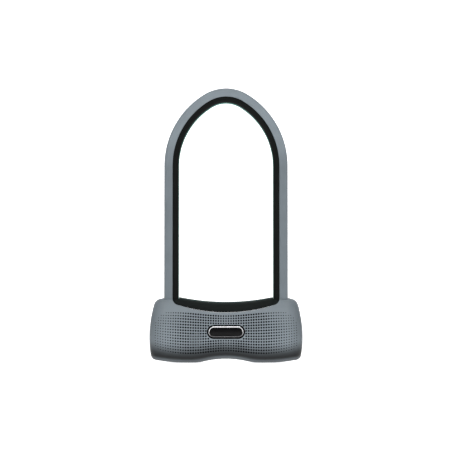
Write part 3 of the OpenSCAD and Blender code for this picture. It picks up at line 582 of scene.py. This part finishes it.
# One look for each of the record's slots.
LOOKS = {
    "hardened_bar": metal("hardened_bar", srgb(122, 125, 129), 0.34, (1, 1, 0.06)),
    # painted shade: the sleeve darker down the legs and lighter at the crown, standing in for light
    # from above
    "sleeve_grey": painted_shade_by_height(
        moulded("sleeve_grey", srgb(139, 149, 156), 0.5, shine=0.15), low=215, high=290, dark=0.74),
    # painted reflection: a teal sheen on the liner's curved edges
    "liner_black": painted_teal_sheen(
        moulded("liner_black", srgb(9, 11, 10), 0.6, grain=1800, depth=0.08 * MM, shine=0.14), 0.8),
    # painted shade: the covers darker under the belly and at the ends, with a painted floor reflection
    # on the rim at the foot
    "cover_grey": painted_cover_shade(moulded("cover_grey", srgb(140, 150, 157), 0.48, shine=0.25)),
    # painted reflection: a teal sheen on the deck panel's curved edges
    "deck_black": painted_teal_sheen(
        moulded("deck_black", srgb(11, 17, 16), 0.5, grain=3200, depth=0.03 * MM, shine=0.1), 0.45),
    "seal_black": moulded("seal_black", srgb(30, 31, 32), 0.6),
    "screw_steel": metal("screw_steel", srgb(112, 114, 118), 0.35),
    # painted reflection: the chrome ring darker towards its bottom, as if a dark room showed in it
    "badge_chrome": painted_shade_by_height(
        metal("badge_chrome", srgb(240, 241, 243), 0.2, grain=300, depth=0.004 * MM, vary=0.03),
        low=28.4, high=42, dark=0.12),
    "badge_black": moulded(
        "badge_black", srgb(8, 8, 10), 0.3, depth=0.004 * MM, coat=0.05, shine=0.12),
    "case_steel": metal("case_steel", srgb(165, 168, 172), 0.38, (0.06, 1, 1)),
    "bolt_steel": metal("bolt_steel", srgb(190, 191, 193), 0.25, (0.05, 1, 1)),
    "cylinder_brass": metal("cylinder_brass", srgb(206, 176, 104), 0.28, (1, 1, 0.1)),
    "bezel_steel": metal("bezel_steel", srgb(182, 184, 187), 0.24, (1, 1, 0.2)),
    "zinc_cast": metal("zinc_cast", srgb(150, 152, 156), 0.5, grain=700, depth=0.05 * MM),
    "spring_steel": metal("spring_steel", srgb(196, 197, 200), 0.22),
    "siren_black": moulded("siren_black", srgb(28, 28, 30), 0.4),
    "siren_brass": metal("siren_brass", srgb(210, 182, 110), 0.3),
    "membrane_grey": moulded("membrane_grey", srgb(72, 74, 77), 0.55),
    "ribbon_amber": moulded("ribbon_amber", srgb(186, 112, 36), 0.3),
    "board_green": moulded("board_green", srgb(30, 92, 58), 0.3),
    "chip_black": moulded("chip_black", srgb(24, 24, 26), 0.45),
    "cell_blue": moulded("cell_blue", srgb(34, 66, 138), 0.25, coat=0.3),
    "magnet_nickel": metal("magnet_nickel", srgb(200, 200, 202), 0.18),
}
# Painted shade: a near-black for the walls and floors of the dots, where shade falls in the dimples and
# holes
HOLE_PAINTED_SHADE = moulded("hole_painted_shade", srgb(8, 9, 12), 0.9, shine=0.02)
# Painted shade: a near-black for the walls and floor of the badge's recess, where shade falls around
# the ring
RECESS_PAINTED_SHADE = moulded("recess_painted_shade", srgb(5, 6, 7), 0.9, shine=0.02)


def piece(name, mesh, slot):
    """A piece of the lock, in the look of its slot."""
    return painted(new_object(name, *mesh), LOOKS[slot])


def placed(obj, body, node):
    """Puts a finished piece on its body, in place of the CAD node it shows in more detail."""
    smooth(obj)
    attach(obj, body)
    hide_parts(node)


# ---------- Covers ----------

def half_stations(flat_steps=48, round_steps=12):
    """Stations from the middle to one end, each with its k; the last is at the parting plane."""
    bend = END_R / HALF_W
    turns = [math.radians(90 * i / round_steps) for i in range(round_steps + 1)]
    return ([(i / flat_steps * (1 - bend), 1.0) for i in range(flat_steps)]
            + [(1 - bend * (1 - math.sin(turn)), 1.0) for turn in turns]
            + [(1.0, 0.0)])


def shell(back, rows=64):
    """Points and faces of one half of the housing, before its openings are cut."""
    half = half_stations()
    line = [(-s, k) for s, k in reversed(half[1:])] + half
    side = -1 if back else 1

    def grid(d):
        rings = [[skin(s, -90 + 180 * j / rows, d, k) for j in range(rows + 1)] for s, k in line]
        return [[(x, side * y, z) for x, y, z in ring] for ring in rings]
    return sheet(grid(0), grid(WALL))


def lens_outline(grow, steps=120):
    """Outline of the deck panel seen from the front, open to above the housing."""
    half = LENS_HALF + grow
    places = [math.sin(math.pi * (i / steps - 0.5)) for i in range(steps + 1)]
    line = [(half * t, lens_edge(LENS_HALF * t) - grow) for t in places]
    return line + [(half, PAST_Z), (-half, PAST_Z)]


def leg_cutters(z0):
    """Sockets of the two legs, from a height upward."""
    half = BAR / 2 + LEG_GAP
    legs = [rounded((x - half, x + half), (-half, half), BAR_R + LEG_GAP) for x in (-LEG_X, LEG_X)]
    return [upright(leg, z0, PAST_Z) for leg in legs]


def shared_cutters():
    """What is cut from both covers: flats at the feet, the bezel's hole and the legs' sockets."""
    feet = box((-PAST_X, PAST_X), (-PAST_Y, PAST_Y), (-PAST_UNDER, 0))
    return [feet, upright(circle(0, 0, BEZEL_R, 48), *BEZEL_Z)] + leg_cutters(SOCKET_Z)


def dots_top(x):
    """Height of the top row of the dots: it rises beside the middle and then runs level."""
    return DOT_TOP_Z + DOT_TOP_RISE * math.sin(math.pi / 2 * min(1.0, abs(x) / DOT_TOP_X)) ** 2


def dots_low(x):
    """Height of the lowest row: it dips over the two lobes."""
    t = abs(x)
    if t < FOOT_X:
        return DOT_LOW_Z + DOT_LOW_RISE * (1 + math.cos(math.pi * t / FOOT_X)) / 2
    return DOT_LOW_Z + arc_drop(DOT_LOW_R, t - FOOT_X)


def beside_badge(x, z):
    """Whether a dot is clear of the badge."""
    past = max(0.0, abs(x) - (BADGE_W - BADGE_H) / 2)
    return math.hypot(past, z - BADGE_Z) >= BADGE_H / 2 + DOT_ROOM


def dot_places():
    """Place and radius of each dot; the dots shrink towards the ends and beside the badge."""
    for col in range(-DOT_COLS, DOT_COLS + 1):
        flat_x = col * DOT_DX
        for row in range(DOT_ROWS):
            z = between(dots_top(flat_x), dots_low(flat_x), row / (DOT_ROWS - 1))
            x = x_at(flat_x / HALF_W, z)
            limit = DOT_END_X - arc_drop(DOT_END_R, z - MID_Z)
            if abs(x) <= limit and beside_badge(x, z):
                r = between(DOT_R_END, DOT_R, min(1.0, (limit - abs(x)) / DOT_FADE))
                yield x, z, r * between(DOT_MIDDLE, 1.0, min(1.0, abs(x) / DOT_CENTRE))


def dot_cutters():
    """Dimples, which become real holes over the siren."""
    for x, z, r in dot_places():
        through = math.hypot(x - SIREN_X, z - SIREN_Z) < SIREN_R
        floor = SKIN_BACK if through else skin_depth(x, z) - DOT_DEPTH
        yield rod(x, z, r, -PAST_Y, -floor, steps=10)


cover = LOOKS["cover_grey"]
recess = prism(stadium(BADGE_W + BADGE_ROOM, BADGE_H + BADGE_ROOM, BADGE_Z), -PAST_Y, -BADGE_SEAT)
front = piece("front_cover_moulding", shell(back=False), "cover_grey")
cut(
    front,
    solid("cut_shared", shared_cutters(), cover),
    solid("cut_lens", [prism(lens_outline(LENS_GAP / 2), -PAST_Y, PAST_SEAL)], cover),
    # the badge's recess takes the painted shade
    solid("cut_badge", [recess], RECESS_PAINTED_SHADE),
    # the dots' walls and floors take the painted shade
    solid("cut_dots", dot_cutters(), HOLE_PAINTED_SHADE),
)
placed(front, "root", "front_cover")

bosses = [rod(x, z, BOSS_R, BOSS_Y, skin_depth(x, z) - BOSS_SINK) for x, z in SCREW_SPOTS]
seats = [rod(x, z, SCREW_HEAD + HEAD_ROOM, SCREW_SEAT, PAST_Y) for x, z in SCREW_SPOTS]
shafts = [rod(x, z, SCREW_R + SHAFT_ROOM, 0, PAST_Y) for x, z in SCREW_SPOTS]
hole_x, hole_z = ((low - DOOR_GAP, high + DOOR_GAP) for low, high in (DOOR_X, DOOR_Z))
opening = prism(rounded(hole_x, hole_z, DOOR_R + DOOR_GAP), DOOR_Y, PAST_Y)
rear = piece("rear_cover_moulding", shell(back=True), "cover_grey")
combined(rear, solid("rear_bosses", bosses, cover), "UNION")
cut(
    rear,
    solid("cut_shared", shared_cutters(), cover),
    solid("cut_lens", [prism(lens_outline(LENS_GAP / 2), -PAST_SEAL, PAST_Y)], cover),
    solid("cut_door", [opening], cover),
    solid("cut_seats", seats, cover),
    solid("cut_shafts", shafts, cover),
)
placed(rear, "root", "rear_cover")

block = prism(rounded(DOOR_X, DOOR_Z, DOOR_R), DOOR_Y, PAST_Y)
door = piece("battery_door_moulding", shell(back=True), "cover_grey")
combined(door, solid("door_block", [block], cover), "INTERSECT")
cut(
    door,
    solid("cut_seat", [rod(DOOR_MID, DOOR_SCREW_Z, SCREW_HEAD + SHAFT_ROOM, DOOR_SEAT, PAST_Y)], cover),
    solid("cut_shaft", [rod(DOOR_MID, DOOR_SCREW_Z, SCREW_R + SHAFT_ROOM, 0, PAST_Y)], cover),
)
placed(door, "battery_tray", "battery_door")

# ---------- Deck panel ----------


def deck_strip(rows=100, cols=64):
    """The housing's top from one face over to the other, wider than the panel cut from it."""
    line = [-DECK_SPAN + 2 * DECK_SPAN * i / rows for i in range(rows + 1)]

    def point(s, angle, d):
        x, y, z = skin(s, min(angle, 180 - angle), d, gap=0.0)
        return x, -y if angle > 90 else y, z

    def ring(s, d):
        start = angle_at(s, LENS_Z - DECK_SPARE, d)
        return [point(s, start + (180 - 2 * start) * j / cols, d) for j in range(cols + 1)]
    return sheet(*([ring(s, d) for s in line] for d in (0, WALL)))


black = LOOKS["deck_black"]
deck = piece("deck_panel_moulding", deck_strip(), "deck_black")
panel = prism(lens_outline(-LENS_GAP / 2), -PAST_Y, PAST_Y)
combined(deck, solid("deck_block", [panel], black), "INTERSECT")
cut(deck, solid("cut_legs", leg_cutters(DECK_CUT_Z), black))
placed(deck, "root", "deck_panel")

# ---------- Shackle sleeve and liner ----------


def arc_stations(x, z, r, a0, a1, step=2.5):
    """Stations on an arc, without its first: centre, radius and angle in degrees."""
    n = math.ceil(abs(a1 - a0) / step)
    return [(x, z, r, a0 + (a1 - a0) * i / n) for i in range(1, n + 1)]


def arch(points, steps=24):
    """Bends a section around the whole shackle; its first axis points away from the opening."""
    crown_a = math.degrees(CROWN_A)
    offset = SHOULDER_ARC - LEG_X
    straight = [SLEEVE_Z + (SPRING_Z - SLEEVE_Z) * i / steps for i in range(steps + 1)]
    line = ([(offset, z, SHOULDER_ARC, 180) for z in straight]
            + arc_stations(offset, SPRING_Z, SHOULDER_ARC, 180, 90 + crown_a)
            + arc_stations(0, CROWN_Z, CROWN_R, 90 + crown_a, 90 - crown_a)
            + arc_stations(-offset, SPRING_Z, SHOULDER_ARC, 90 - crown_a, 0)
            + [(-offset, z, SHOULDER_ARC, 0) for z in reversed(straight[:-1])])
    rings = []
    for x, z, r, a in line:
        c, s = math.cos(math.radians(a)), math.sin(math.radians(a))
        rings.append([(x + (r + u) * c, y, z + (r + u) * s) for u, y in points])
    return loft(rings)


def corner(side, r, start, steps=8):
    """A quarter turn at one corner of a square."""
    middle = math.radians(start + 45)
    cx, cy = (math.copysign(side / 2 - r, f(middle)) for f in (math.cos, math.sin))
    angles = [math.radians(start + 90 * i / steps) for i in range(steps + 1)]
    return [(cx + r * math.cos(a), cy + r * math.sin(a)) for a in angles]


def channel(u, chamfer=0.25):
    """The part of the sleeve's section beyond a place, with a chamfer along the parting line."""
    def wrap(side, r, high):
        low = [(x, -y) for x, y in reversed(high)]
        return low + corner(side, r, -90) + corner(side, r, 0) + high
    half = (BAR - BAR_INSET) / 2
    outer = wrap(BAR - BAR_INSET, BAR_R, [(u + chamfer, half), (u, half - chamfer)])
    inner = wrap(CORE, CORE_R, [(u, CORE / 2)])
    return outer + inner[::-1]


def mirrored(points):
    """A section turned to face the opening."""
    return [(-x, y) for x, y in reversed(points)]


sleeve = piece("shackle_sleeve_moulding", arch(channel(SPLIT_U + SPLIT_GAP)), "sleeve_grey")
placed(sleeve, "shackle", "shackle_sleeve")
liner = piece("shackle_liner_moulding", arch(mirrored(channel(SPLIT_GAP - SPLIT_U))), "liner_black")
placed(liner, "shackle", "shackle_liner")

# ---------- Badge ----------


def around_badge(profile, inset):
    """Rings round the badge from a profile, whose points are further insets and depths."""
    rings = []
    for more, y in profile:
        ring = stadium(BADGE_W - 2 * (inset + more), BADGE_H - 2 * (inset + more), BADGE_Z, 24)
        rings.append([(x, -y, z) for x, z in ring])
    return rings


rim = [(0.3, BADGE_SEAT), (0.3, 22.6), (0.34, 22.9), (0.45, 23.2), (0.65, 23.5), (0.9, 23.72),
       (1.2, 23.8), (1.5, 23.72), (1.75, 23.5), (1.95, 23.2), (2.1, 22.8), (BADGE_BAND, 22.4),
       (BADGE_BAND, BADGE_SEAT)]
ring_mesh = loft(around_badge(rim, BADGE_GAP), closed=True)
placed(piece("badge_frame_ring", ring_mesh, "badge_chrome"), "root", "badge_frame")
dome = [(0, BADGE_SEAT), (0, 22.5), (0.15, 22.7), (0.5, 22.85), (1.5, 22.97), (2.8, 23.05), (4.2, 23.1)]
dome_mesh = loft(around_badge(dome, BADGE_GAP + BADGE_BAND + PLATE_GAP))
placed(piece("badge_plate_dome", dome_mesh, "badge_black"), "root", "badge_plate")

# ---------- CAD nodes that are shown as they are ----------

EDGE_W, EDGE_ANGLE = 0.18 * MM, 40     # softened edges: their width, and the least angle
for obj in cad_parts.values():
    if obj.hide_render:
        continue
    slots = [m.name.split(".")[0] for m in obj.data.materials if m]
    look = next((LOOKS[slot] for slot in slots if slot in LOOKS), None)
    if look:
        painted(obj, look)
    weld = obj.modifiers.new("weld", "WELD")
    weld.merge_threshold = CAD_WELD
    for face in obj.data.polygons:
        face.use_smooth = True
    edges = obj.modifiers.new("edges", "BEVEL")
    edges.width = EDGE_W
    edges.segments = 2
    edges.limit_method = "ANGLE"
    edges.angle_limit = math.radians(EDGE_ANGLE)
    edges.harden_normals = True
    edges.use_clamp_overlap = True

# ---------- Stage, light and camera, in metres ----------

ROOM, BACKDROP_Y = 12, 9               # half width of the floor, and place of the backdrop
FLOOR_Z = -0.0003                      # a hair below the feet, so that the two don't flicker
FLOOR_GLOW, BACKDROP_GLOW, ROOM_GLOW = 0.8, 1.0, 0.12
LOCK_MIDDLE = (0, 0, 0.15)
CAMERA_PLACE, CAMERA_AIM = (0, -2.3, 0.06), (0, 0, 0.1566)
CAMERA_LENS, CAMERA_SENSOR, FARTHEST = 159.4, 36, 100   # lens and sensor in millimetres
WHITE = grey(1)


def turned(obj, place, aim):
    """Puts a lamp or camera at a place and turns it to another."""
    obj.location = place
    obj.rotation_euler = (Vector(aim) - Vector(place)).to_track_quat("-Z", "Y").to_euler()
    bpy.context.collection.objects.link(obj)


def lamp(name, place, size, power, aim=LOCK_MIDDLE):
    """A soft box: its size is a width and a height, and its power is in watts."""
    data = bpy.data.lights.new(name, "AREA")
    data.shape = "RECTANGLE"
    data.size, data.size_y = size
    data.energy = power
    turned(bpy.data.objects.new(name, data), place, aim)


def paper(name, corners, glow):
    """A white sheet of the studio that glows, so that it stays white around the object."""
    mesh = bpy.data.meshes.new(name)
    mesh.from_pydata(corners, [], [(0, 1, 2, 3)])
    obj = bpy.data.objects.new(name, mesh)
    bpy.context.collection.objects.link(obj)
    material, _, shader = nodes_of(name + "_paper")
    shader.inputs["Base Color"].default_value = grey(0.9)
    shader.inputs["Roughness"].default_value = 0.9
    shader.inputs["Emission Color"].default_value = WHITE
    shader.inputs["Emission Strength"].default_value = glow
    obj.data.materials.append(material)


floor_corners = ((-ROOM, -ROOM), (ROOM, -ROOM), (ROOM, ROOM), (-ROOM, ROOM))
paper("floor", [(x, y, FLOOR_Z) for x, y in floor_corners], FLOOR_GLOW)
backdrop_corners = ((-ROOM, 0), (ROOM, 0), (ROOM, ROOM), (-ROOM, ROOM))
paper("backdrop", [(x, BACKDROP_Y, z) for x, z in backdrop_corners], BACKDROP_GLOW)

world = bpy.data.worlds.new("soft_white")
world.use_nodes = True
background = world.node_tree.nodes["Background"]
background.inputs["Color"].default_value = WHITE
background.inputs["Strength"].default_value = ROOM_GLOW
scene = bpy.context.scene
scene.world = world

lamp("key_light", (0, -1.5, 1.5), (1.6, 0.8), 11)
lamp("top_light", (0, -0.1, 1.7), (1.2, 0.8), 9, aim=(0, 0, 0.25))
lamp("left_light", (-1.5, -0.9, 0.9), (0.5, 1.0), 0.2)
lamp("right_light", (1.5, -0.9, 0.9), (0.5, 1.0), 1.3)

camera_data = bpy.data.cameras.new("camera")
camera_data.lens = CAMERA_LENS
camera_data.sensor_width = CAMERA_SENSOR
camera_data.clip_end = FARTHEST
camera = bpy.data.objects.new("camera", camera_data)
turned(camera, CAMERA_PLACE, CAMERA_AIM)
scene.camera = camera
scene.view_settings.view_transform = "Standard"
